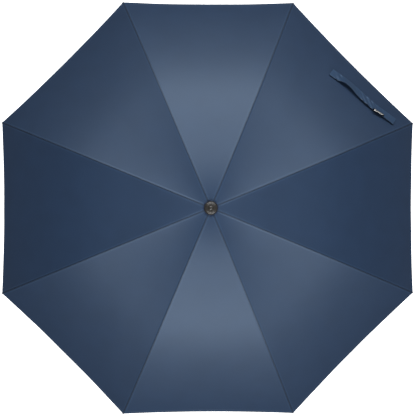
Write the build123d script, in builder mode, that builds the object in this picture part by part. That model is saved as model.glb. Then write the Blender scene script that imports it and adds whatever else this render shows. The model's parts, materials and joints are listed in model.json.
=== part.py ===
"""Folding umbrella: three-fold ribs on a telescopic shaft, open, handle bottom at the origin, +Z up."""

from build123d import *
from math import atan2, cos, degrees, hypot, radians, sin, tan
import os

os.makedirs("parts", exist_ok=True)

# ---------------------------------------------------------------- driving dimensions, mm and degrees
rib_count = 8
notch_height = 548.0  # rib pivots on the notch, above the bottom of the handle
notch_pivot_radius = 13.2
main_length = 144.0  # notch pivot to knee, along the main rib
main_slope = 10.0
middle_length = 139.0  # knee to elbow, along the middle rib
middle_slope = 18.0
outer_chord = 246.0  # elbow to rib tip
outer_start_slope = 25.0
outer_end_slope = 44.0
stretcher_station = 78.0  # stretcher pivot along the main rib
runner_drop = 56.0  # runner pivot below the notch pivot, canopy open

sheet_metal = 0.5  # gauge of the pressed rib channels
main_width = 5.0
main_depth = 2.0
stretcher_width = 3.4
stretcher_depth = 2.6
outer_wire_diameter = 2.2
rivet_radius = 0.6
rivet_fit = 0.05  # running clearance round rivets
side_play = 0.25  # between nested channels
knee_height = 1.15  # knee pivot above the main rib's centre line
ear_radius = 1.5  # pressed ears round the pivots

upper_tube_radius = 5.0
middle_tube_radius = 6.0
lower_tube_radius = 7.0
tube_wall = 0.5
slide_fit = 0.05
lower_tube_length = 194.0
middle_tube_length = 190.0
tube_overlap = 25.0  # of two extended tubes
tube_stroke = 112.5  # of each telescopic joint
handle_length = 66.0
handle_radius = 15.0
handle_foot_radius = 13.5
end_cap_height = 9.0
tube_foot = 14.0  # lower tube's bottom end, inside the handle

cloth = 0.4  # canopy fabric with its coating
panel_gap = 0.12  # each panel stops this far from the rib's plane
hem_sweep = 7.0  # how far a hem curves in between two ribs
canopy_hole_radius = 6.0
cap_radius = 14.2
cap_height = 9.0
rosette_radius = 17.0

strap_width = 16.5
strap_length = 177.0
strap_thickness = 0.9
strap_lift = 1.1  # room under the loose strap
snap_length = 27.0
snap_width = 7.0
snap_thickness = 0.8
snap_station = 134.7  # of its centre, along the strap from the sewn end
snap_offset = 7.0  # of its centre from the strap's middle line, towards the shaft

button_width = 9.0
button_height = 14.0
button_centre = 46.0
button_travel = 2.5

# ---------------------------------------------------------------- places worked out from them
half_pitch = 180.0 / rib_count
stretcher_drop = main_depth / 2 + 1.2  # stretcher pivot under the main rib's centre line
runner_pivot_radius = notch_pivot_radius - stretcher_drop
runner_height = notch_height - runner_drop
middle_width = main_width - 2 * sheet_metal - 2 * side_play
middle_depth = 2.9
middle_top = -0.15  # middle rib's web top, from the knee pivot's line
elbow_drop = 2.1  # elbow pivot under the knee pivot's line, inside the channel


def along(start, slope, forward, up=0.0):
    """Point of a radial plane that lies forward and up from start, in a frame that slopes down."""
    angle = radians(slope)
    return (
        start[0] + forward * cos(angle) + up * sin(angle),
        start[1] - forward * sin(angle) + up * cos(angle),
    )


notch_pivot = (notch_pivot_radius, notch_height)
stretcher_pivot = along(notch_pivot, main_slope, stretcher_station, -stretcher_drop)
knee = along(notch_pivot, main_slope, main_length, knee_height)
elbow = along(knee, middle_slope, middle_length, -elbow_drop)
outer_slope = (outer_start_slope + outer_end_slope) / 2
rib_tip = along(elbow, outer_slope, outer_chord)
outer_bow = outer_chord / 2 * tan(radians(outer_end_slope - outer_start_slope) / 4)
outer_crown = along(elbow, outer_slope, outer_chord / 2, outer_bow)
runner_pivot = (runner_pivot_radius, runner_height)
stretcher_length = hypot(stretcher_pivot[0] - runner_pivot[0], stretcher_pivot[1] - runner_pivot[1])
runner_travel = stretcher_station + stretcher_length - runner_drop
stretcher_slope = 180 - degrees(
    atan2(stretcher_pivot[1] - runner_pivot[1], stretcher_pivot[0] - runner_pivot[0])
)


def rib_plane(start, slope):
    """Plane of the first rib: X runs along the rib, Y is up from it, and the rib's width is Z."""
    angle = radians(slope)
    return Plane(origin=(start[0], 0, start[1]), x_dir=(cos(angle), 0, -sin(angle)), z_dir=(0, -1, 0))


def keep(part, name):
    part.label = name
    export_step(part, f"parts/{name}.step")


def keep_around(part, name, first_azimuth):
    """Writes one copy of a piece for each rib or panel, turned about the shaft."""
    for index in range(rib_count):
        with BuildPart() as turned:
            add(part, rotation=(0, 0, first_azimuth + index * 360 / rib_count))
        keep(turned.part, f"{name}_{index + 1}")


# ---------------------------------------------------------------- shaft
lower_tube_top = tube_foot + lower_tube_length
middle_tube_foot = lower_tube_top - tube_overlap
middle_tube_top = middle_tube_foot + middle_tube_length
upper_tube_foot = middle_tube_top - tube_overlap
upper_tube_top = notch_height + 5.0


def tube(radius, foot, top):
    with BuildPart() as body:
        with BuildSketch(Plane.XY.offset(foot)):
            Circle(radius)
            Circle(radius - tube_wall, mode=Mode.SUBTRACT)
        extrude(amount=top - foot)
    return body.part


def collar(outer_radius, inner_radius, top):
    """Plastic ring pressed into a tube's mouth, with a lip on its rim, for the next tube to slide in."""
    lip_height = 1.6
    ring_height = 12.0
    with BuildPart() as body:
        with BuildSketch(Plane.XY.offset(top)):
            Circle(outer_radius)
            Circle(inner_radius + slide_fit, mode=Mode.SUBTRACT)
        extrude(amount=lip_height)
        with BuildSketch(Plane.XY.offset(top)):
            Circle(outer_radius - tube_wall)
            Circle(inner_radius + slide_fit, mode=Mode.SUBTRACT)
        extrude(amount=-ring_height)
    return body.part


keep(tube(lower_tube_radius, tube_foot, lower_tube_top), "lower_tube")
keep(tube(middle_tube_radius, middle_tube_foot, middle_tube_top), "middle_tube")
keep(tube(upper_tube_radius, upper_tube_foot, upper_tube_top), "upper_tube")
keep(collar(lower_tube_radius, middle_tube_radius, lower_tube_top), "lower_tube_collar")
keep(collar(middle_tube_radius, upper_tube_radius, middle_tube_top), "middle_tube_collar")

plug_flange = 2.5
with BuildPart() as upper_tube_plug:
    with BuildSketch(Plane.XY.offset(upper_tube_foot - plug_flange)):
        Circle(middle_tube_radius - tube_wall - slide_fit)
    extrude(amount=plug_flange)
    with BuildSketch(Plane.XY.offset(upper_tube_foot)):
        Circle(upper_tube_radius - tube_wall)
    extrude(amount=8.0)
    fillet(upper_tube_plug.edges().group_by(Axis.Z)[0], radius=0.4)
keep(upper_tube_plug.part, "upper_tube_plug")

spring_foot = tube_foot + 2.0
spring_top = upper_tube_foot - plug_flange
spring_radius = 3.6
spring_wire = 0.5
spring_pitch = 7.5
with BuildPart() as shaft_spring:
    with BuildLine() as spring_path:
        Helix(
            pitch=spring_pitch,
            height=spring_top - spring_foot - 2 * spring_wire,
            radius=spring_radius,
            center=(0, 0, spring_foot + spring_wire),
        )
    with BuildSketch(Plane(origin=spring_path.line @ 0, z_dir=spring_path.line % 0)):
        Circle(spring_wire)
    sweep(is_frenet=True)
keep(shaft_spring.part, "shaft_spring")

# ---------------------------------------------------------------- handle
button_gap = 0.2
button_flange = 1.2
button_face = handle_radius + 2.0  # how far the button stands from the shaft's axis
flange_back = 12.4
flange_front = flange_back + 0.9
chamber_front = flange_front + 0.3
pressed_spring_length = 1.4
chamber_back = flange_back - button_travel - pressed_spring_length
groove_count = 3
groove_pitch = 2.6
groove_width = 1.0
groove_depth = 0.5
barrel_foot = end_cap_height + 6
lowest_groove = barrel_foot + 1
button_groove = button_centre - button_height / 2 - 4  # under the button: a clamp seats below it
barrel_top = handle_length - 7
shoulder_radius = lower_tube_radius + 3

with BuildPart() as handle_grip:
    with BuildSketch(Plane.XZ):
        with BuildLine():
            Polyline(
                (0, end_cap_height),
                (handle_foot_radius, end_cap_height),
                (handle_radius, barrel_foot),
                (handle_radius, barrel_top),
            )
            ThreePointArc(
                (handle_radius, barrel_top),
                (handle_radius - 1.8, handle_length - 2.2),
                (shoulder_radius, handle_length),
            )
            Polyline((shoulder_radius, handle_length), (0, handle_length), (0, end_cap_height))
        make_face()
    revolve(axis=Axis.Z)
    with BuildSketch(Plane.XY.offset(tube_foot)):
        Circle(lower_tube_radius)
    extrude(amount=handle_length, mode=Mode.SUBTRACT)
    with BuildSketch(Plane.XY.offset(end_cap_height)):
        Circle(lower_tube_radius - 1)
    extrude(amount=handle_length, mode=Mode.SUBTRACT)
    with BuildSketch(Plane.XZ.offset(chamber_back)):
        with Locations((0, button_centre)):
            RectangleRounded(button_width + 3, button_height + 3, 2)
    extrude(amount=chamber_front - chamber_back, mode=Mode.SUBTRACT)
    with BuildSketch(Plane.XZ.offset(chamber_front)):
        with Locations((0, button_centre)):
            RectangleRounded(button_width + 2 * button_gap, button_height + 2 * button_gap, 3)
    extrude(amount=handle_radius, mode=Mode.SUBTRACT)
    for foot in [lowest_groove + row * groove_pitch for row in range(groove_count)] + [button_groove]:
        with BuildSketch(Plane.XY.offset(foot)):
            Circle(handle_radius + 1)
            Circle(handle_radius - groove_depth, mode=Mode.SUBTRACT)
        extrude(amount=groove_width, mode=Mode.SUBTRACT)
keep(handle_grip.part, "handle_grip")

with BuildPart() as end_cap:
    with BuildSketch():
        Circle(handle_foot_radius)
    extrude(amount=end_cap_height)
    chamfer(end_cap.edges().group_by(Axis.Z)[0], length=1.2)
    with BuildSketch(Plane.XY.offset(end_cap_height)):
        Circle(lower_tube_radius - 1)
    extrude(amount=spring_foot - end_cap_height)
    with BuildSketch():
        SlotOverall(17, 6)
    extrude(amount=5.5, mode=Mode.SUBTRACT)
    with BuildSketch(Plane.XZ):
        with Locations((0, 2.6)):
            Circle(1.6)
    extrude(amount=4, both=True)
keep(end_cap.part, "end_cap")

with BuildPart() as push_button:
    with BuildSketch(Plane.XZ.offset(flange_back)):
        with Locations((0, button_centre)):
            RectangleRounded(button_width, button_height, 2.8)
    extrude(amount=button_face - flange_back)
    fillet(push_button.edges().group_by(Axis.Y)[0], radius=0.9)
    with BuildSketch(Plane.XZ.offset(flange_back)):
        with Locations((0, button_centre)):
            RectangleRounded(button_width + 2 * button_flange, button_height + 2 * button_flange, 1.8)
    extrude(amount=flange_front - flange_back)
keep(push_button.part, "push_button")

button_spring_wire = 0.25
button_spring_length = flange_back - chamber_back
with BuildPart() as button_spring:
    with BuildLine() as button_spring_path:
        Helix(
            pitch=1.2,
            height=button_spring_length - 2 * button_spring_wire,
            radius=2.5,
            center=(0, -chamber_back - button_spring_wire, button_centre),
            direction=(0, -1, 0),
        )
    with BuildSketch(
        Plane(origin=button_spring_path.line @ 0, z_dir=button_spring_path.line % 0)
    ):
        Circle(button_spring_wire)
    sweep(is_frenet=True)
keep(button_spring.part, "button_spring")

# ---------------------------------------------------------------- notch, runner and their wire rings
wire_radius = 0.6
notch_radius = notch_pivot_radius + 3.2
notch_half_height = 2.4
tongue_width = 2.2  # flattened inner end of a main rib
tongue_radius = 1.3
slot_play = 0.3
sleeve_bore = lower_tube_radius + 0.3
sleeve_radius = runner_pivot_radius - 2.0
crown_radius = 15.0
crown_half_height = 3.0


def slots(width, floor_radius):
    """Sketch of one radial slot for each rib, from floor_radius outwards."""
    reach = 20.0
    with BuildSketch() as cut:
        with PolarLocations(floor_radius + reach / 2, rib_count, start_angle=half_pitch):
            Rectangle(reach, width)
    return cut.sketch


def wire_ring(radius, height):
    with BuildPart() as ring:
        with BuildSketch(Plane.XZ):
            with Locations((radius, height)):
                Circle(wire_radius)
        revolve(axis=Axis.Z)
    return ring.part


with BuildPart() as top_notch:
    with BuildSketch(Plane.XY.offset(notch_height - notch_half_height)):
        Circle(notch_radius)
    extrude(amount=2 * notch_half_height)
    chamfer(top_notch.edges(), length=0.4)
    with BuildSketch(Plane.XY.offset(notch_height - 9)):
        Circle(8)
    extrude(amount=9)
    with BuildSketch(Plane.XY.offset(notch_height - 9)):
        Circle(upper_tube_radius)
    extrude(amount=20, mode=Mode.SUBTRACT)
    with BuildSketch(Plane.XY.offset(notch_height - notch_half_height)):
        add(slots(tongue_width + 2 * slot_play, notch_pivot_radius - tongue_radius - slot_play))
    extrude(amount=2 * notch_half_height, mode=Mode.SUBTRACT)
    add(wire_ring(notch_pivot_radius, notch_height), mode=Mode.SUBTRACT)
keep(top_notch.part, "top_notch")
keep(wire_ring(notch_pivot_radius, notch_height), "notch_wire")

sleeve_foot = runner_height - 34
sleeve_top = runner_height + 8
grip_height = 6.0
with BuildPart() as runner:
    with BuildSketch(Plane.XY.offset(sleeve_foot)):
        Circle(sleeve_radius)
    extrude(amount=sleeve_top - sleeve_foot)
    with BuildSketch(Plane.XY.offset(sleeve_foot)):
        Circle(sleeve_radius + 2)
    extrude(amount=grip_height)
    chamfer(runner.edges().filter_by(GeomType.CIRCLE), length=0.5)
    with BuildSketch(Plane.XY.offset(runner_height - crown_half_height)):
        Circle(crown_radius)
    extrude(amount=2 * crown_half_height)
    with BuildSketch(Plane.XY.offset(runner_height - crown_half_height)):
        add(slots(stretcher_width + 2 * slot_play, sleeve_radius))
    extrude(amount=2 * crown_half_height, mode=Mode.SUBTRACT)
    with BuildSketch(Plane.XY.offset(sleeve_foot)):
        Circle(sleeve_bore)
    extrude(amount=sleeve_top - sleeve_foot, mode=Mode.SUBTRACT)
    add(wire_ring(runner_pivot_radius, runner_height), mode=Mode.SUBTRACT)
keep(runner.part, "runner")

# The ring stops at each slot: the stretchers' pivots on the runner are where the linkage is opened.
with BuildPart() as runner_wire:
    add(wire_ring(runner_pivot_radius, runner_height))
    with BuildSketch(Plane.XY.offset(runner_height - crown_half_height)):
        add(slots(stretcher_width + 2 * slot_play, 0))
    extrude(amount=2 * crown_half_height, mode=Mode.SUBTRACT)
keep(runner_wire.part, "runner_wire")

# ---------------------------------------------------------------- main rib
main_plane = rib_plane(notch_pivot, main_slope)
tongue_length = 5.0
tongue_root = tongue_length + 2.0
web_stop = ear_radius + 0.7  # the web ends this far before the knee


def rivet(start, slope, length, station=0.0, height=0.0):
    """Rivet across a rib, with a low head on each side."""
    head_radius = 1.0
    head_height = 0.35
    with BuildPart() as pin:
        with BuildSketch(rib_plane(start, slope)):
            with Locations((station, height)):
                Circle(rivet_radius)
        extrude(amount=length / 2 + head_height, both=True)
        for side in (1, -1):
            with BuildSketch(rib_plane(start, slope).offset(side * length / 2)):
                with Locations((station, height)):
                    Circle(head_radius)
            extrude(amount=side * head_height)
    return pin.part


with BuildPart() as main_rib:
    with BuildSketch(main_plane):
        with Locations(((tongue_length + main_length) / 2, 0)):
            Rectangle(main_length - tongue_length, main_depth)
        with Locations((stretcher_station, -stretcher_drop / 2)):
            Rectangle(2 * ear_radius, stretcher_drop)
        with Locations((stretcher_station, -stretcher_drop), (main_length, knee_height)):
            Circle(ear_radius)
        with Locations((main_length - 1, knee_height / 2)):
            Rectangle(2 * ear_radius + 1, knee_height)
    extrude(amount=main_width / 2, both=True)
    with BuildSketch(main_plane):
        pocket_length = main_length + 5 - tongue_root
        pocket_top = main_depth / 2 - sheet_metal
        with Locations((tongue_root + pocket_length / 2, pocket_top - 5)):
            Rectangle(pocket_length, 10)
        with Locations((main_length - web_stop + 5, 0)):
            Rectangle(10, 10)
    extrude(amount=main_width / 2 - sheet_metal, both=True, mode=Mode.SUBTRACT)
    with BuildSketch(main_plane):
        Circle(tongue_radius)
        with Locations((tongue_root / 2, 0)):
            Rectangle(tongue_root, main_depth)
    extrude(amount=tongue_width / 2, both=True)
    with BuildSketch(main_plane):
        Circle(wire_radius + rivet_fit)
    extrude(amount=main_width, both=True, mode=Mode.SUBTRACT)
    add(rivet(notch_pivot, main_slope, main_width, main_length, knee_height))
    add(rivet(notch_pivot, main_slope, main_width, stretcher_station, -stretcher_drop))
    link_start = stretcher_station + 8
    link_radius = 0.45
    with BuildSketch(Plane(main_plane.location * Location((link_start, 0.15, 0), (0, 90, 0)))):
        Circle(link_radius)
    extrude(amount=main_length - link_start - 5)
keep_around(main_rib.part, "main_rib", half_pitch)

# ---------------------------------------------------------------- stretcher
stretcher_plane = rib_plane(stretcher_pivot, stretcher_slope)
with BuildPart() as stretcher:
    with BuildSketch(stretcher_plane):
        with Locations((stretcher_length / 2, 0)):
            Rectangle(stretcher_length, stretcher_depth)
        with Locations((0, 0), (stretcher_length, 0)):
            Circle(stretcher_depth / 2)
    extrude(amount=stretcher_width / 2, both=True)
    with BuildSketch(stretcher_plane):
        with Locations((stretcher_length / 2, sheet_metal)):
            Rectangle(stretcher_length - 8, stretcher_depth)
    extrude(amount=stretcher_width / 2 - sheet_metal, both=True, mode=Mode.SUBTRACT)
    with BuildSketch(stretcher_plane):
        with Locations((0, 0), (stretcher_length, 0)):
            Circle(rivet_radius + rivet_fit)
    extrude(amount=stretcher_width, both=True, mode=Mode.SUBTRACT)
keep_around(stretcher.part, "stretcher", half_pitch)

# ---------------------------------------------------------------- middle rib
middle_plane = rib_plane(knee, middle_slope)
middle_end = middle_length + ear_radius
with BuildPart() as middle_rib:
    with BuildSketch(middle_plane):
        with Locations((middle_end / 2, middle_top - middle_depth / 2)):
            Rectangle(middle_end, middle_depth)
        Circle(ear_radius - 0.1)
        with Locations((ear_radius / 2, 0)):
            Rectangle(ear_radius, 2 * ear_radius - 0.2)
    extrude(amount=middle_width / 2, both=True)
    with BuildSketch(middle_plane):
        with Locations((middle_end / 2, middle_top - sheet_metal - 5)):
            Rectangle(middle_end + 2 * ear_radius, 10)
        with Locations((ear_radius - 5, 0)):
            Rectangle(10, 10)
        with Locations((ear_radius, 5 + middle_top)):
            Rectangle(4 * ear_radius, 10)
    extrude(amount=middle_width / 2 - sheet_metal, both=True, mode=Mode.SUBTRACT)
    with BuildSketch(middle_plane):
        Circle(rivet_radius + rivet_fit)
    extrude(amount=middle_width, both=True, mode=Mode.SUBTRACT)
    add(rivet(knee, middle_slope, middle_width, middle_length, -elbow_drop))
    wire_start = 8.0
    tension_radius = 0.4
    with BuildSketch(
        Plane(
            middle_plane.location
            * Location((wire_start, middle_top - sheet_metal - tension_radius + 0.05, 0), (0, 90, 0))
        )
    ):
        Circle(tension_radius)
    extrude(amount=middle_length - wire_start - 7)
keep_around(middle_rib.part, "middle_rib", half_pitch)

# ---------------------------------------------------------------- outer rib, a sprung wire with its tip
eye_radius = 1.3
tip_radius = 1.6
tip_length = 9.0
tip_proud = 2.5
outer_plane = rib_plane(elbow, outer_slope)
with BuildPart() as outer_rib:
    with BuildLine(outer_plane) as outer_path:
        ThreePointArc((0, 0), (outer_chord / 2, outer_bow), (outer_chord, 0))
    with BuildSketch(Plane(origin=outer_path.line @ 0, z_dir=outer_path.line % 0)):
        Circle(outer_wire_diameter / 2)
    sweep()
    with BuildSketch(outer_plane):
        Circle(eye_radius)
    extrude(amount=outer_wire_diameter / 2, both=True)
    with BuildSketch(outer_plane):
        Circle(rivet_radius + rivet_fit)
    extrude(amount=outer_wire_diameter, both=True, mode=Mode.SUBTRACT)
    tip_direction = outer_path.line % 1
    with BuildSketch(
        Plane(origin=(outer_path.line @ 1) - tip_direction * (tip_length - tip_proud), z_dir=tip_direction)
    ):
        Circle(tip_radius)
    extrude(amount=tip_length)
    fillet(outer_rib.edges().sort_by(Axis.X)[-1], radius=1.2)
keep_around(outer_rib.part, "outer_rib", half_pitch)

# ---------------------------------------------------------------- canopy
over_knee = 2.1
over_elbow = 2.6
over_wire = 1.6
over_tip = 2.1
cloth_at_notch = notch_height + notch_half_height + 0.8
rib_line = [
    (canopy_hole_radius - 1, cloth_at_notch),
    (notch_radius + 1.5, cloth_at_notch - 0.1),
    along(knee, (main_slope + middle_slope) / 2, 0, over_knee),
    along(elbow, (middle_slope + outer_start_slope) / 2, 0, over_elbow),
    along(outer_crown, outer_slope, 0, over_wire),
    along(rib_tip, outer_end_slope, 0, over_tip),
]
mid_panel = cos(radians(half_pitch))  # a panel's middle is this much nearer the shaft than its ribs


def cloth_layer(height, thickness):
    """Layer that lies height above the canopy's underside, straight across from rib to rib."""
    low = [(r * mid_panel, z + height) for r, z in rib_line]
    high = [(x, z + thickness) for x, z in low]
    start_tangent = (1, 0)
    end_tangent = (mid_panel * cos(radians(outer_end_slope)), -sin(radians(outer_end_slope)))
    with BuildPart() as layer:
        with BuildSketch(Plane.XZ):
            with BuildLine():
                Spline(*low, tangents=(start_tangent, end_tangent))
                Spline(*high, tangents=(start_tangent, end_tangent))
                Line(low[0], high[0])
                Line(low[-1], high[-1])
            make_face()
        extrude(amount=rib_tip[0] / 2, both=True)
    return layer.part


hem_chord = rib_tip[0] * mid_panel  # distance of the straight line between two rib tips
hem_half = rib_tip[0] * sin(radians(half_pitch)) - panel_gap
hole_chord = canopy_hole_radius * mid_panel
hole_half = canopy_hole_radius * sin(radians(half_pitch)) - panel_gap
panel_layer = cloth_layer(0, cloth)
with BuildPart() as canopy_panel:
    with BuildSketch(Plane.XY.offset(rib_tip[1] - 10)):
        with BuildLine():
            Polyline((hem_chord, -hem_half), (hole_chord, -hole_half), (hole_chord, hole_half))
            Line((hole_chord, hole_half), (hem_chord, hem_half))
            ThreePointArc((hem_chord, hem_half), (hem_chord - hem_sweep, 0), (hem_chord, -hem_half))
        make_face()
    extrude(amount=notch_height - rib_tip[1] + 30)
    add(panel_layer, mode=Mode.INTERSECT)
keep_around(canopy_panel.part, "canopy_panel", 0)

with BuildPart() as rosette:
    with BuildSketch(Plane.XY.offset(cloth_at_notch + cloth + 0.05)):
        Circle(rosette_radius)
        Circle(canopy_hole_radius - 0.9, mode=Mode.SUBTRACT)
    extrude(amount=cloth)
keep(rosette.part, "rosette")

cap_foot = cloth_at_notch + 2 * cloth + 0.05
cap_stud = 11.0  # pressed into the upper tube's end
with BuildPart() as top_cap:
    with BuildSketch(Plane.XZ):
        with BuildLine():
            Polyline(
                (0, cap_foot - cap_stud),
                (upper_tube_radius - tube_wall, cap_foot - cap_stud),
                (upper_tube_radius - tube_wall, upper_tube_top),
                (upper_tube_radius, upper_tube_top),
                (upper_tube_radius, cap_foot),
                (cap_radius - 0.6, cap_foot),
                (cap_radius, cap_foot + 0.8),
                (cap_radius, cap_foot + 2.2),
            )
            ThreePointArc(
                (cap_radius, cap_foot + 2.2),
                (cap_radius - 1.6, cap_foot + 4.6),
                (cap_radius - 4.4, cap_foot + 5.8),
            )
            Polyline(
                (cap_radius - 4.4, cap_foot + 5.8),
                (cap_radius - 5.2, cap_foot + 5.4),
                (cap_radius - 8.6, cap_foot + 6.1),
            )
            TangentArc(
                (0, cap_foot + cap_height), (cap_radius - 8.6, cap_foot + 6.1), tangent=(1, 0)
            )
            Line((0, cap_foot + cap_height), (0, cap_foot - cap_stud))
        make_face()
    revolve(axis=Axis.Z)
keep(top_cap.part, "top_cap")

# ---------------------------------------------------------------- closing strap on one panel, and its snap plate
strap_azimuth = 45.0  # middle of the panel that carries the strap
strap_sewn_end = (396.5, 20.8)  # on that panel, outwards and along its hem
strap_free_end = (418.6, -154.0)
strap_turn = degrees(
    atan2(strap_free_end[1] - strap_sewn_end[1], strap_free_end[0] - strap_sewn_end[0])
)


def on_strap(station, offset=0.0):
    """Point of the strap: station from its sewn end, offset from its middle line away from the shaft."""
    turn = radians(strap_turn)
    return (
        strap_sewn_end[0] + station * cos(turn) - offset * sin(turn),
        strap_sewn_end[1] + station * sin(turn) + offset * cos(turn),
    )


def on_cloth(outline_centre, length, width, turn, height, thickness, corner):
    """Flat rounded strip that follows a panel's slope at a height above its underside."""
    layer = cloth_layer(height, thickness)
    with BuildPart() as strip:
        with BuildSketch(Plane.XY.offset(rib_tip[1] - 10)):
            with Locations(Location((*outline_centre, 0), (0, 0, turn))):
                RectangleRounded(length, width, corner)
        extrude(amount=notch_height - rib_tip[1])
        add(layer, mode=Mode.INTERSECT)
    return strip.part


strap_foot = cloth + strap_lift
with BuildPart() as closing_strap:
    add(
        on_cloth(
            on_strap(strap_length / 2), strap_length, strap_width, strap_turn, strap_foot, strap_thickness, 1.5
        )
    )
    add(
        on_cloth(
            on_strap(strap_width / 2),
            strap_width,
            strap_width,
            strap_turn,
            cloth,
            strap_lift + strap_thickness / 2,
            1.5,
        )
    )
with BuildPart() as strap_in_place:
    add(closing_strap.part, rotation=(0, 0, strap_azimuth))
keep(strap_in_place.part, "closing_strap")

with BuildPart() as strap_snap:
    add(
        on_cloth(
            on_strap(snap_station, -snap_offset),
            snap_length,
            snap_width,
            strap_turn,
            strap_foot + strap_thickness,
            snap_thickness,
            3.0,
        ),
        rotation=(0, 0, strap_azimuth),
    )
keep(strap_snap.part, "strap_snap")

print("rib pivots, radius and height:")
for title, place in (
    ("notch", notch_pivot),
    ("stretcher", stretcher_pivot),
    ("knee", knee),
    ("elbow", elbow),
    ("tip", rib_tip),
    ("runner", runner_pivot),
):
    print(f"  {title}: {place[0]:.3f} {place[1]:.3f}")
print(f"runner travel {runner_travel:.3f}, stretcher slope {stretcher_slope:.3f}")
print(f"collapsed, the notch pivots are {notch_height - 2 * tube_stroke:.1f} above the bottom")
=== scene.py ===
import json
from math import atan2, cos, hypot, pi, radians, sin, tan

import bpy
import numpy as np
from mathutils import Matrix, Vector


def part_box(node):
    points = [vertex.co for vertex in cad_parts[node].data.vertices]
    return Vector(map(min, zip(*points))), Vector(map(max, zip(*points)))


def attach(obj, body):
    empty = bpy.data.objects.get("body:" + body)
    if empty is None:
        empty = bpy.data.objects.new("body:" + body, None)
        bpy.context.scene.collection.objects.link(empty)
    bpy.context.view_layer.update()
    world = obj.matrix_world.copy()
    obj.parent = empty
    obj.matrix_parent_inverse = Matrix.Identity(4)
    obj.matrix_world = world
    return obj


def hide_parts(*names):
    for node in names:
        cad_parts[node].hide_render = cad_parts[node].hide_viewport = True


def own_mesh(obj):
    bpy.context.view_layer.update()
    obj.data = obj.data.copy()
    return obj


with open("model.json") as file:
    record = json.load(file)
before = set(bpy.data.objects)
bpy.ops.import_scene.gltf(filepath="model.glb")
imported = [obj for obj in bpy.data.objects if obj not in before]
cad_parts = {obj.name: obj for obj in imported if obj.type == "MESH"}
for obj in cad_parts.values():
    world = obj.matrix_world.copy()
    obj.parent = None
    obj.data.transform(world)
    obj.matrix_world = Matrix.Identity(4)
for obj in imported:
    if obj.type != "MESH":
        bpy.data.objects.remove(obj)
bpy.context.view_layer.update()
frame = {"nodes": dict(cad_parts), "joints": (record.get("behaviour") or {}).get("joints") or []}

bpy.ops.object.select_all(action="DESELECT")

MM = 0.001
RIB_COUNT = 8
HALF_PITCH = radians(180 / RIB_COUNT)
JOINTS = {joint["name"]: joint for joint in frame["joints"]}


def radial_place(joint):
    """Radius and height of a joint."""
    x, y, z = JOINTS[joint]["pos_m"]
    return np.array([hypot(x, y), z])


NOTCH = radial_place("main_fold_1")
KNEE = radial_place("middle_fold_1")
ELBOW = radial_place("outer_fold_1")

# ------------------------------------------------------------------ materials


def add_node(tree, kind, links=(), **settings):
    """A node with its settings, and links as (source socket, input)."""
    node = tree.nodes.new(kind)
    for name, value in settings.items():
        if name.startswith("in_"):
            key = name[3:]
            node.inputs[int(key) if key.isdigit() else key.replace("_", " ")].default_value = value
        else:
            setattr(node, name, value)
    for source, target in links:
        tree.links.new(source, node.inputs[target])
    return node


def rgb(hex_code):
    """sRGB hex value as a linear colour."""
    parts = [int(hex_code[i : i + 2], 16) / 255 for i in (1, 3, 5)]
    return [c / 12.92 if c <= 0.04045 else ((c + 0.055) / 1.055) ** 2.4 for c in parts] + [1.0]


def new_material(name, colour, roughness, metallic=0.0, ior=1.5):
    made = bpy.data.materials.new(name)
    made.use_nodes = True
    shader = made.node_tree.nodes["Principled BSDF"]
    shader.inputs["Base Color"].default_value = rgb(colour)
    shader.inputs["Roughness"].default_value = roughness
    shader.inputs["Metallic"].default_value = metallic
    if not metallic:
        shader.inputs["IOR"].default_value = ior
    return made, made.node_tree, shader


def grain(tree, shader, size, strength, spread, detail=3.0):
    """Fine moulded or brushed unevenness: a bump, and a little change of roughness."""
    place = add_node(tree, "ShaderNodeTexCoord")
    noise = add_node(
        tree, "ShaderNodeTexNoise", [(place.outputs["Object"], "Vector")], in_Scale=1 / size, in_Detail=detail
    )
    bump = add_node(
        tree, "ShaderNodeBump", [(noise.outputs["Fac"], "Height")], in_Strength=strength, in_Distance=0.1 * MM
    )
    tree.links.new(bump.outputs["Normal"], shader.inputs["Normal"])
    rough = shader.inputs["Roughness"].default_value
    spread_map = add_node(
        tree,
        "ShaderNodeMapRange",
        [(noise.outputs["Fac"], "Value")],
        in_To_Min=rough - spread,
        in_To_Max=rough + spread,
    )
    tree.links.new(spread_map.outputs["Result"], shader.inputs["Roughness"])
    return noise


def moulded(name, colour, roughness, size=0.6 * MM, strength=0.15):
    made, tree, shader = new_material(name, colour, roughness)
    grain(tree, shader, size, strength, 0.05)
    return made


def steel(name, colour, roughness, metallic=1.0):
    made, tree, shader = new_material(name, colour, roughness, metallic)
    grain(tree, shader, 0.8 * MM, 0.08, 0.06)
    return made


# Pongee is a fine plain weave of bright polyester: even navy with a soft satin sheen and no visible thread.
THREAD = 0.9 * MM  # real threads are 0.1 mm apart, too fine to show, so the weave is drawn this coarse
PANEL_NAVY = "#182c47"


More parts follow.
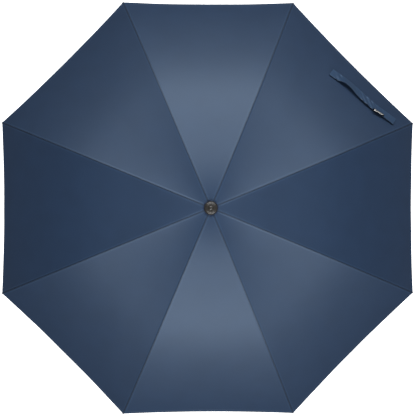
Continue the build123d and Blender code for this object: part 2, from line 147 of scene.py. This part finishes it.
def pongee(name, colour, stitched_and_shaded):
    made, tree, shader = new_material(name, colour, 0.54, ior=1.5)
    shader.inputs["Specular IOR Level"].default_value = 0.8  # the filaments are bright, and tint their own gloss
    shader.inputs["Specular Tint"].default_value = (0.64, 0.8, 1.0, 1.0)
    shader.inputs["Sheen Weight"].default_value = 0.12
    shader.inputs["Sheen Roughness"].default_value = 0.4
    place = add_node(tree, "ShaderNodeTexCoord")
    waves = [
        add_node(
            tree,
            "ShaderNodeTexWave",
            [(place.outputs["Object"], "Vector")],
            bands_direction=direction,
            in_Scale=0.314 / THREAD,
        )
        for direction in ("X", "Y")
    ]
    weave = add_node(
        tree,
        "ShaderNodeMath",
        [(waves[0].outputs["Fac"], 0), (waves[1].outputs["Fac"], 1)],
        operation="MULTIPLY",
    )
    mottle = add_node(
        tree, "ShaderNodeTexNoise", [(place.outputs["Object"], "Vector")], in_Scale=28.0, in_Detail=4.0
    )
    bump = add_node(
        tree, "ShaderNodeBump", [(weave.outputs[0], "Height")], in_Strength=0.12, in_Distance=0.05 * MM
    )
    tree.links.new(bump.outputs["Normal"], shader.inputs["Normal"])
    shade = add_node(
        tree,
        "ShaderNodeMapRange",
        [(mottle.outputs["Fac"], "Value")],
        in_From_Min=0.3,
        in_From_Max=0.7,
        in_To_Min=0.94,
        in_To_Max=1.06,
    )
    value = shade.outputs["Result"]
    if stitched_and_shaded:
        value = darker_near(tree, value, "hem_distance", 1.2 * MM, 3.0 * MM, 0.55)
        # painted shade: a dark band beside each seam stands for the shade of its ridge, and along the strap's inner
        # edge for the shadow under that lifted edge
        value = darker_near(tree, value, "seam_distance", 0.7 * MM, 1.9 * MM, 0.55)
    cloth_colour = add_node(tree, "ShaderNodeHueSaturation", [(value, "Value")], in_Color=rgb(colour))
    result = cloth_colour.outputs["Color"]
    if stitched_and_shaded:
        result = stitches(tree, result, "hem_distance", "along_hem", 4.2 * MM)
        result = stitches(tree, result, "seam_distance", "along_seam", 3.6 * MM)
    tree.links.new(result, shader.inputs["Base Color"])
    return made


STITCH = 3.0 * MM  # one lockstitch and its gap


def darker_near(tree, value, distance, full, end, least):
    """Darkens the colour from an edge out to where the band ends. Along a hem this is the fold of several layers;
    beside a seam and along the strap's inner edge it is painted shade.
    """
    away = add_node(tree, "ShaderNodeAttribute", attribute_name=distance)
    fold_and_shade = add_node(
        tree,
        "ShaderNodeMapRange",
        [(away.outputs["Fac"], "Value")],
        in_From_Min=full,
        in_From_Max=end,
        in_To_Min=least,
        in_To_Max=1.0,
    )
    both = add_node(
        tree,
        "ShaderNodeMath",
        [(value, 0), (fold_and_shade.outputs["Result"], 1)],
        operation="MULTIPLY",
    )
    return both.outputs[0]


def stitches(tree, base, distance, along, line):
    """A row of lockstitches at a distance from an edge, in slightly paler thread."""
    away = add_node(tree, "ShaderNodeAttribute", attribute_name=distance)
    run = add_node(tree, "ShaderNodeAttribute", attribute_name=along)
    offset = add_node(tree, "ShaderNodeMath", [(away.outputs["Fac"], 0)], operation="SUBTRACT", in_1=line)
    near = add_node(tree, "ShaderNodeMath", [(offset.outputs[0], 0)], operation="ABSOLUTE")
    inside = add_node(
        tree, "ShaderNodeMath", [(near.outputs[0], 0)], operation="LESS_THAN", in_1=0.45 * MM
    )
    turns = add_node(tree, "ShaderNodeMath", [(run.outputs["Fac"], 0)], operation="DIVIDE", in_1=STITCH)
    phase = add_node(tree, "ShaderNodeMath", [(turns.outputs[0], 0)], operation="FRACT")
    dash = add_node(tree, "ShaderNodeMath", [(phase.outputs[0], 0)], operation="LESS_THAN", in_1=0.62)
    mask = add_node(
        tree,
        "ShaderNodeMath",
        [(inside.outputs[0], 0), (dash.outputs[0], 1)],
        operation="MULTIPLY",
    )
    mixed = add_node(
        tree,
        "ShaderNodeMix",
        [(mask.outputs[0], "Factor"), (base, "A")],
        data_type="RGBA",
    )
    mixed.inputs["B"].default_value = rgb("#2c4664")
    return mixed.outputs["Result"]


CLOTH = pongee("pongee_panel", PANEL_NAVY, True)
# the strap's cloth carries painted shadow: a dark band along its inner edge, standing for the shadow under that
# lifted edge
STRAP = pongee("pongee_strap", "#223a57", True)
# The rosette is cut from the same cloth, doubled; its darker colour is partly painted shade, the shade that the cap
# casts round itself.
ROSETTE_CLOTH_SHADED = pongee("pongee_doubled_shaded", "#0f2140", False)
# Injection-moulded ABS with a polished face: near-black, sharp highlights.
CAP = moulded("polished_abs", "#2b2927", 0.36, 2.0 * MM, 0.03)
# The same plastic with a spark-eroded mould face: softer highlights.
GRIP = moulded("textured_abs", "#1d1e20", 0.48, 0.5 * MM, 0.5)
SLIDER = moulded("acetal", "#26272a", 0.4, 1.0 * MM, 0.1)
# Chromed tube, drawn and polished.
TUBE = steel("chromed_tube", "#b9bbbf", 0.18)
SPRING = steel("spring_steel", "#8d8f93", 0.3)
# Black electro-painted channel steel.
RIB = moulded("painted_channel", "#17181a", 0.35, 1.5 * MM, 0.08)
PLATE = steel("nickel_plate", "#f0efec", 0.32)
GUNMETAL = steel("gunmetal", "#1c1c1e", 0.3)


WIRE_GREY = "#2b2d31"


def tipped_wire():
    """Painted spring wire that ends in a moulded navy tip."""
    made, tree, shader = new_material("wire_with_tip", WIRE_GREY, 0.34)
    grain(tree, shader, 1.0 * MM, 0.08, 0.05)
    place = add_node(tree, "ShaderNodeTexCoord")
    flat = add_node(
        tree,
        "ShaderNodeVectorMath",
        [(place.outputs["Object"], 0)],
        operation="MULTIPLY",
        in_1=(1.0, 1.0, 0.0),
    )
    radius = add_node(tree, "ShaderNodeVectorMath", [(flat.outputs[0], 0)], operation="LENGTH")
    tip = add_node(
        tree,
        "ShaderNodeMath",
        [(radius.outputs["Value"], 0)],
        operation="GREATER_THAN",
        in_1=TIP_START,
    )
    colour = add_node(tree, "ShaderNodeMix", [(tip.outputs[0], "Factor")], data_type="RGBA")
    colour.inputs["A"].default_value = rgb(WIRE_GREY)
    colour.inputs["B"].default_value = rgb("#1e2f4a")
    tree.links.new(colour.outputs["Result"], shader.inputs["Base Color"])
    return made


# ------------------------------------------------------------------ canopy surface
OUTER_CHORD = 246 * MM
OUTER_SLOPES = (radians(25), radians(44))
MAIN_SLOPE = radians(10)
MIDDLE_SLOPE = radians(18)
CLOTH_THICKNESS = 0.35 * MM
CLOTH_RISE = 0.4 * MM  # top of the cloth above its underside
HOLE = 5.0 * MM
HEM_SWEEP = 7 * MM
PANEL_SAG = 3.5 * MM


def offset_from(point, slope, forward, up):
    """Point of a rib's plane, forward and up in a frame that slopes down."""
    return point + np.array([forward * cos(slope) + up * sin(slope), up * cos(slope) - forward * sin(slope)])


outer_slope = sum(OUTER_SLOPES) / 2
TIP = offset_from(ELBOW, outer_slope, OUTER_CHORD, 0)
TIP_START = TIP[0] - 5 * MM
bow = OUTER_CHORD / 2 * tan((OUTER_SLOPES[1] - OUTER_SLOPES[0]) / 4)
RIB_LINE = [
    np.array([HOLE, NOTCH[1] + 3.2 * MM]),
    np.array([17.9 * MM, NOTCH[1] + 3.1 * MM]),
    offset_from(KNEE, (MAIN_SLOPE + MIDDLE_SLOPE) / 2, 0, 2.1 * MM),
    offset_from(ELBOW, (MIDDLE_SLOPE + OUTER_SLOPES[0]) / 2, 0, 2.6 * MM),
    offset_from(offset_from(ELBOW, outer_slope, OUTER_CHORD / 2, bow), outer_slope, 0, 1.6 * MM),
    offset_from(TIP, OUTER_SLOPES[1], 0, 2.1 * MM),
]


def smooth_line(points, start, end, count):
    """Even points, with their stations, on a cubic through points with given end directions."""
    points = np.array(points)
    gaps = np.linalg.norm(np.diff(points, axis=0), axis=1)
    size = len(points)
    system = np.zeros((size, size))
    right = np.zeros((size, 2))
    system[0, 0] = system[-1, -1] = 1
    right[0] = np.array(start) / np.linalg.norm(start)
    right[-1] = np.array(end) / np.linalg.norm(end)
    for i in range(1, size - 1):
        a, b = gaps[i - 1], gaps[i]
        system[i, i - 1 : i + 2] = b, 2 * (a + b), a
        right[i] = 3 * (b * (points[i] - points[i - 1]) / a + a * (points[i + 1] - points[i]) / b)
    slopes = np.linalg.solve(system, right)
    dense = []
    for i, gap in enumerate(gaps):
        t = np.linspace(0, 1, 200, endpoint=i == len(gaps) - 1)[:, None]
        dense.append(
            (2 * t**3 - 3 * t**2 + 1) * points[i]
            + (t**3 - 2 * t**2 + t) * gap * slopes[i]
            + (3 * t**2 - 2 * t**3) * points[i + 1]
            + (t**3 - t**2) * gap * slopes[i + 1]
        )
    dense = np.vstack(dense)
    walked = np.r_[0, np.cumsum(np.linalg.norm(np.diff(dense, axis=0), axis=1))]
    even = np.linspace(0, walked[-1], count)
    return even, np.stack([np.interp(even, walked, dense[:, k]) for k in (0, 1)], axis=1)


STATIONS, LINE = smooth_line(RIB_LINE, (1, 0), (cos(OUTER_SLOPES[1]), -sin(OUTER_SLOPES[1])), 4000)
LENGTH = STATIONS[-1]
DIRECTION = np.gradient(LINE, STATIONS, axis=0)


def smooth_step(low, high, value):
    t = np.clip((value - low) / (high - low), 0, 1)
    return t * t * (3 - 2 * t)


def cloth_points(azimuth, side, station, across):
    """Points of a panel: station along the rib, across from 0 at the rib to 1 in the panel's middle.

    Also their distances from the hem and from the seam.
    """
    fullness = across * (2 - across)
    share = station / LENGTH
    pulled = station - HEM_SWEEP * 1.06 * fullness * share**2
    radius = np.interp(pulled, STATIONS, LINE[:, 0])
    height = np.interp(pulled, STATIONS, LINE[:, 1])
    dr = np.interp(pulled, STATIONS, DIRECTION[:, 0]) * cos(HALF_PITCH)
    dz = np.interp(pulled, STATIONS, DIRECTION[:, 1])
    norm = np.hypot(dr, dz)
    nx, nz = -dz / norm, dr / norm
    x = radius * cos(HALF_PITCH)
    half_width = radius * sin(HALF_PITCH)
    y = side * half_width * (1 - across)
    seam_distance = half_width * across
    hem_distance = (1 - share) * LENGTH
    rise = -PANEL_SAG * fullness * np.sin(pi * np.clip(share, 0, 1)) ** 0.8
    # the seam's allowance is felled to one side of each rib, and stands up as a narrow ridge
    near_centre = smooth_step(0.0, 0.06, share)
    ridge = (1 - smooth_step(1.8 * MM, 3.4 * MM, seam_distance)) * near_centre
    rise = rise + (0.32 * MM if side > 0 else 0.1 * MM) * ridge
    # stitching puckers the cloth beside the seam
    pucker = np.sin(station / (7.5 * MM) * 2 * pi + azimuth * 3) * np.exp(-seam_distance / (6 * MM))
    rise = rise + 0.07 * MM * pucker * near_centre
    # turned hem: two layers more, rolled down at its edge
    rise = rise + 0.3 * MM * (1 - smooth_step(6.5 * MM, 8.5 * MM, hem_distance))
    rise = rise - 1.1 * MM * np.clip(1 - hem_distance / (2.6 * MM), 0, 1) ** 2
    # slack that gathers between the tips, and pulls towards them
    wave = np.sin(across * 7.0 + azimuth * 5) * np.sin(share * 11 + azimuth * 2.3)
    rise = rise + 0.35 * MM * wave * fullness * smooth_step(0.3, 0.9, share)
    x = x + nx * rise
    z = height + CLOTH_RISE + nz * rise
    c, s = cos(azimuth), sin(azimuth)
    return np.stack([x * c - y * s, x * s + y * c, z], axis=-1), hem_distance, seam_distance


def new_mesh_object(name, points, faces, attributes=()):
    mesh = bpy.data.meshes.new(name)
    mesh.from_pydata(points.reshape(-1, 3).tolist(), [], faces)
    for title, values in attributes:
        layer = mesh.attributes.new(title, "FLOAT", "POINT")
        layer.data.foreach_set("value", np.ascontiguousarray(values, dtype=np.float32).ravel())
    mesh.update()
    made = bpy.data.objects.new(name, mesh)
    bpy.context.scene.collection.objects.link(made)
    return made


def grid_faces(rows, columns, turned):
    faces = []
    for i in range(rows - 1):
        for j in range(columns - 1):
            a = i * columns + j
            corners = (a, a + 1, a + columns + 1, a + columns)
            faces.append(corners[::-1] if turned else corners)
    return faces


def use(piece):
    """Makes a piece the only selected and active one."""
    bpy.ops.object.select_all(action="DESELECT")
    piece.select_set(True)
    bpy.context.view_layer.objects.active = piece


def thicken(piece, thickness, offset=-1.0):
    """Gives a sheet its thickness and applies it."""
    use(piece)
    wall = piece.modifiers.new("cloth", "SOLIDIFY")
    wall.thickness = thickness
    wall.offset = offset
    bpy.ops.object.modifier_apply(modifier="cloth")
    bpy.ops.object.shade_smooth_by_angle(angle=radians(40))


COLUMNS = 30
spread = np.linspace(0, 1, COLUMNS)
ACROSS = (np.exp(3.2 * spread) - 1) / (np.exp(3.2) - 1)
HEM_ROWS = np.array([10, 8.8, 8.0, 7.2, 6.4, 5, 3.6, 2.6, 2.0, 1.4, 0.9, 0.4, 0]) * MM


FOLD_SLANT = 0.7  # 0 for folds straight across a panel, 1 for folds square to its ribs


def fold_line(radius):
    """Stations, column by column, of the line where a panel folds at a joint of its rib."""
    return np.interp(radius / (1 - FOLD_SLANT * ACROSS * sin(HALF_PITCH) ** 2), LINE[:, 0], STATIONS)


def section_grid(first, last):
    """Stations of a section between two lines across the panel, closer together at the hem."""
    at_hem = last[0] >= LENGTH
    stop = last - (HEM_ROWS[0] if at_hem else 0)
    count = round((stop[0] - first[0]) / (2.6 * MM))
    plain = first + np.linspace(0, 1, count)[:, None] * (stop - first)
    if not at_hem:
        return plain
    return np.vstack([plain, LENGTH - HEM_ROWS[1:, None] * np.ones(COLUMNS)])


# the cloth inside the notch's pivots is clamped under the cap, and hidden by the rosette
SECTIONS = (
    ("main", fold_line(NOTCH[0] + 0.4 * MM), fold_line(KNEE[0])),
    ("middle", fold_line(KNEE[0]), fold_line(ELBOW[0])),
    ("outer", fold_line(ELBOW[0]), np.full(COLUMNS, LENGTH)),
)


def canopy_piece(panel, side, section, first, last):
    azimuth = panel * 2 * HALF_PITCH
    rib = panel + 1 if side > 0 else (panel - 1) % RIB_COUNT + 1
    station = section_grid(first, last)
    across = np.broadcast_to(ACROSS, station.shape)
    points, hem, seam = cloth_points(azimuth, side, station, across)
    along_hem = np.broadcast_to(points[-1, :, :2].copy()[None], points[..., :2].shape)
    run = np.linalg.norm(along_hem - along_hem[:, :1], axis=-1)
    name = f"canopy_{panel + 1}_{'left' if side > 0 else 'right'}_{section}"
    piece = new_mesh_object(
        name,
        points,
        grid_faces(len(station), COLUMNS, side > 0),
        (
            ("hem_distance", hem),
            ("seam_distance", seam),
            ("along_hem", run),
            ("along_seam", station),
        ),
    )
    piece.data.materials.append(CLOTH)
    thicken(piece, CLOTH_THICKNESS)
    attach(piece, f"{section}_rib_{rib}")
    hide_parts(f"canopy_panel_{panel + 1}")
    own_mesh(piece)


for panel in range(RIB_COUNT):
    for side in (1, -1):
        for section, first, last in SECTIONS:
            canopy_piece(panel, side, section, first, last)

# ------------------------------------------------------------------ rosette under the cap


def rosette():
    """Round washer of the canopy's cloth with a pinked edge."""
    rings = np.array([5.2, 8, 11, 13, 14.5, 15.6, 16.4, 16.9]) * MM
    count = 96
    angle = np.linspace(0, 2 * pi, count, endpoint=False)
    radius, turn = np.meshgrid(rings, angle, indexing="ij")
    flare = smooth_step(13 * MM, 17 * MM, radius)
    radius = radius + 0.25 * MM * flare * np.sign(np.sin(turn * 24))
    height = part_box("rosette")[1][2] - 0.1 * MM - flare * 0.25 * MM * (1 - np.sin(turn * 8))
    points = np.stack([radius * np.cos(turn), radius * np.sin(turn), height], axis=-1)
    faces = []
    for i in range(len(rings) - 1):
        for j in range(count):
            k = (j + 1) % count
            faces.append((i * count + j, (i + 1) * count + j, (i + 1) * count + k, i * count + k))
    piece = new_mesh_object("rosette_cloth", points, faces)
    piece.data.materials.append(ROSETTE_CLOTH_SHADED)
    thicken(piece, 0.3 * MM)
    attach(piece, "upper_shaft")
    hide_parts("rosette")


rosette()

# ------------------------------------------------------------------ closing strap
STRAP_AZIMUTH = 2 * HALF_PITCH
SEWN_END = np.array([396.5, 20.8]) * MM
FREE_END = np.array([418.6, -154.0]) * MM
STRAP_WIDTH = 16.5 * MM
STRAP_THICKNESS = 0.7 * MM


def strap_surface(x):
    """Height of the cloth under the strap and its normal, at a distance x from the shaft along the panel."""
    station = np.interp(x / cos(HALF_PITCH), LINE[:, 0], STATIONS)
    height = np.interp(station, STATIONS, LINE[:, 1])
    dr = np.interp(station, STATIONS, DIRECTION[:, 0]) * cos(HALF_PITCH)
    dz = np.interp(station, STATIONS, DIRECTION[:, 1])
    norm = np.hypot(dr, dz)
    return height, -dz / norm, dr / norm


def strap_points(u, v, lift):
    """Points of the strap: u along it in metres, v across it, lift above the cloth."""
    reach = np.linalg.norm(FREE_END - SEWN_END)
    forward = (FREE_END - SEWN_END) / reach
    sideways = np.array([-forward[1], forward[0]])
    share = u / reach
    bend = 0.8 * MM * smooth_step(0.0, 0.12, share) - 3.6 * MM * smooth_step(0.25, 0.67, share)
    bend = bend + 2.8 * MM * smooth_step(0.7, 1.0, share)
    # past its sewn end the strap twists, and stands up on its outer edge before it lies down again
    twist = radians(22) * smooth_step(0.09, 0.22, share) * (1 - smooth_step(0.28, 0.48, share))
    twist = twist + radians(7) * smooth_step(0.3, 0.5, share)
    from_outer = STRAP_WIDTH / 2 - v
    v = STRAP_WIDTH / 2 - from_outer * np.cos(twist) + bend
    lift = lift + from_outer * np.sin(twist)
    x = SEWN_END[0] + forward[0] * u + sideways[0] * v
    y = SEWN_END[1] + forward[1] * u + sideways[1] * v
    height, nx, nz = strap_surface(x)
    px, pz = x + nx * lift, height + CLOTH_RISE + nz * lift
    c, s = cos(STRAP_AZIMUTH), sin(STRAP_AZIMUTH)
    return np.stack([px * c - y * s, px * s + y * c, pz], axis=-1)


def gather_to_rib(piece):
    """Gives a piece of the strap its own copy of its mesh."""
    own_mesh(piece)


def closing_strap():
    reach = float(np.linalg.norm(FREE_END - SEWN_END))
    u = np.linspace(0, reach, 150)
    v = np.concatenate([[-1, -0.93, -0.86, -0.78], np.linspace(-0.7, 0.7, 9), [0.78, 0.86, 0.93, 1]])
    along, over = np.meshgrid(u, v * STRAP_WIDTH / 2, indexing="ij")
    share = along / reach
    edge = np.abs(over) / (STRAP_WIDTH / 2)
    # sewn flat at one end, loose after it, with slanting wrinkles where it was folded
    loose = smooth_step(0.1, 0.22, share)
    slack = 0.7 * MM * np.exp(-(((share - 0.58) / 0.15) ** 2)) + 0.55 * MM * np.exp(
        -(((share - 0.12) / 0.045) ** 2)
    )
    slack = slack + 0.2 * MM * np.exp(-(((share - 0.9) / 0.07) ** 2))
    slant = (along + 1.5 * over) / (15 * MM) * 2 * pi
    lift = 0.9 * MM + loose * 1.2 * MM + slack * (1 + np.sin(slant + 0.8 * np.sin(slant * 0.37)))
    lift = lift + 0.22 * MM * smooth_step(0.72, 0.8, edge) - 0.35 * MM * smooth_step(0.9, 1.0, edge)
    lift = lift - loose * 0.6 * MM * smooth_step(0.9, 1.0, share)
    piece = new_mesh_object(
        "strap_band",
        strap_points(along, over, lift),
        grid_faces(len(u), len(v), False),
        (
            ("hem_distance", 2.6 * MM + np.minimum(STRAP_WIDTH / 2 - over, np.minimum(along, reach - along))),
            ("along_hem", along),
            # distance from the strap's inner edge: it places a stitch row, and a band of painted shadow along that
            # edge
            ("seam_distance", 0.4 * MM + over + STRAP_WIDTH / 2),
            ("along_seam", along),
        ),
    )
    piece.data.materials.append(STRAP)
    thicken(piece, STRAP_THICKNESS)
    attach(piece, "outer_rib_1")
    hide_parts("closing_strap")
    gather_to_rib(piece)


closing_strap()

# ------------------------------------------------------------------ metal plate clipped over the strap's inner edge
PLATE_STATION = 134.7 * MM
PLATE_OFFSET = 7.6 * MM
PLATE_LIFT = 5.4 * MM  # over the cloth, clear of the strap's wrinkles
PLATE_TURN = radians(8)  # against the strap's own line


def plate_matrix():
    """Frame of the plate: X along it, Z up from the strap."""
    place = np.array([PLATE_STATION, PLATE_STATION + MM, PLATE_STATION])
    across = np.array([-PLATE_OFFSET, -PLATE_OFFSET, MM - PLATE_OFFSET])
    centre, ahead, beside = strap_points(place, across, np.full(3, PLATE_LIFT))
    forward = Vector(ahead - centre).normalized()
    normal = forward.cross(Vector(beside - centre)).normalized()
    axes = Matrix([forward, normal.cross(forward), normal]).transposed().to_4x4()
    return Matrix.Translation(Vector(centre)) @ axes @ Matrix.Rotation(PLATE_TURN, 4, "Z")


def plate_layer(name, length, width, taper, height, rise, rounding, finish):
    """Stamped layer of the plate: square at one end, drawn in and rounded at the other."""
    bpy.ops.mesh.primitive_cube_add(size=1)
    piece = bpy.context.active_object
    piece.name = name
    piece.scale = (length, width, height)
    bpy.ops.object.transform_apply(location=False, rotation=False, scale=True)
    bpy.ops.object.mode_set(mode="EDIT")
    bpy.ops.mesh.select_all(action="DESELECT")
    bpy.ops.object.mode_set(mode="OBJECT")
    for face in piece.data.polygons:
        face.select = face.normal.x > 0.9
    bpy.ops.object.mode_set(mode="EDIT")
    bpy.ops.transform.resize(value=(1, taper, 1))
    bpy.ops.object.mode_set(mode="OBJECT")
    edges = piece.modifiers.new("rounding", "BEVEL")
    edges.width = rounding
    edges.segments = 4
    bpy.ops.object.modifier_apply(modifier="rounding")
    bpy.ops.object.shade_smooth_by_angle(angle=radians(35))
    piece.data.materials.append(finish)
    piece.matrix_world = plate_matrix() @ Matrix.Translation((0, 0, rise))
    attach(piece, "outer_rib_1")
    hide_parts("strap_snap")
    gather_to_rib(piece)


plate_layer("snap_back", 28.5 * MM, 8.0 * MM, 0.6, 1.2 * MM, 0.0, 0.5 * MM, GUNMETAL)
plate_layer("snap_face", 25.0 * MM, 5.0 * MM, 0.5, 1.2 * MM, 0.9 * MM, 0.55 * MM, PLATE)

# ------------------------------------------------------------------ springs, copied from their parts with their doubled points merged


def flexing_spring(node, name, body):
    piece = frame["nodes"][node].copy()
    piece.data = frame["nodes"][node].data.copy()
    piece.name = name
    piece.parent = None
    bpy.context.scene.collection.objects.link(piece)
    piece.data.materials.clear()
    piece.data.materials.append(SPRING)
    use(piece)
    bpy.ops.object.mode_set(mode="EDIT")
    bpy.ops.mesh.select_all(action="SELECT")
    bpy.ops.mesh.remove_doubles(threshold=1e-6)
    bpy.ops.object.mode_set(mode="OBJECT")
    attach(piece, body)
    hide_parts(node)
    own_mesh(piece)


flexing_spring(
    "shaft_spring",
    "shaft_spring_coil",
    "handle",
)
flexing_spring(
    "button_spring",
    "button_spring_coil",
    "handle",
)

# ------------------------------------------------------------------ materials of the frame's own pieces
WIRE = tipped_wire()
FINISHES = {
    "top_cap": CAP,
    "handle_grip": GRIP,
    "end_cap": GRIP,
    "push_button": CAP,
    "runner": SLIDER,
    "top_notch": SLIDER,
    "upper_tube_plug": SLIDER,
    "lower_tube_collar": SLIDER,
    "middle_tube_collar": SLIDER,
    "lower_tube": TUBE,
    "middle_tube": TUBE,
    "upper_tube": TUBE,
    "notch_wire": SPRING,
    "runner_wire": SPRING,
}
for index in range(1, RIB_COUNT + 1):
    FINISHES[f"main_rib_{index}"] = RIB
    FINISHES[f"middle_rib_{index}"] = RIB
    FINISHES[f"stretcher_{index}"] = RIB
    FINISHES[f"outer_rib_{index}"] = WIRE
for node, finish in FINISHES.items():
    slots = frame["nodes"][node].material_slots
    for slot in slots:
        slot.material = finish

# ------------------------------------------------------------------ studio
bpy.ops.mesh.primitive_plane_add(size=60, location=(0, 0, -2 * MM))
floor = bpy.context.active_object
floor.name = "floor"
white, _, white_shader = new_material("white_floor", "#ffffff", 0.9)
white_shader.inputs["Emission Color"].default_value = (1, 1, 1, 1)
white_shader.inputs["Emission Strength"].default_value = 1.0
floor.data.materials.append(white)
floor.visible_diffuse = False  # the bright floor is a backdrop: it doesn't light the cloth from below
floor.visible_glossy = False

world = bpy.data.worlds.new("studio")
bpy.context.scene.world = world
world.use_nodes = True
world.node_tree.nodes["Background"].inputs["Color"].default_value = (1, 1, 1, 1)
world.node_tree.nodes["Background"].inputs["Strength"].default_value = 0.1


def softbox(name, place, target, width, depth, power):
    light = bpy.data.lights.new(name, "AREA")
    light.shape = "RECTANGLE"
    light.size = width
    light.size_y = depth
    light.energy = power
    lamp = bpy.data.objects.new(name, light)
    lamp.location = place
    lamp.rotation_euler = (Vector(target) - Vector(place)).to_track_quat("-Z", "Y").to_euler()
    bpy.context.scene.collection.objects.link(lamp)


CANOPY_MIDDLE = (0.0, 0.0, 0.48)
SOFTBOX = (3.4, 1.1, 92)  # width and depth in metres, and power in watts
for side in (1, -1):
    softbox(f"softbox_{'back' if side > 0 else 'front'}", (0.14, side * 2.1, 2.3), CANOPY_MIDDLE, *SOFTBOX)

# ------------------------------------------------------------------ camera, straight above and a little to the left
RIM_HEIGHT = TIP[1]
CAMERA_RISE = 3.0  # above the rim
FIELD_WIDTH = 0.918  # seen at the rim's distance
camera_data = bpy.data.cameras.new("camera")
camera_data.sensor_width = 36.0
camera_data.lens = CAMERA_RISE * camera_data.sensor_width / FIELD_WIDTH
camera_data.clip_end = 50.0
camera = bpy.data.objects.new("camera", camera_data)
camera.location = (-0.076, 0.0, RIM_HEIGHT + CAMERA_RISE)
AIM_X = -0.0005
camera.rotation_euler = (0.0, atan2(camera.location.x - AIM_X, CAMERA_RISE), 0.0)
bpy.context.scene.collection.objects.link(camera)
bpy.context.scene.camera = camera
bpy.context.scene.view_settings.view_transform = "Standard"
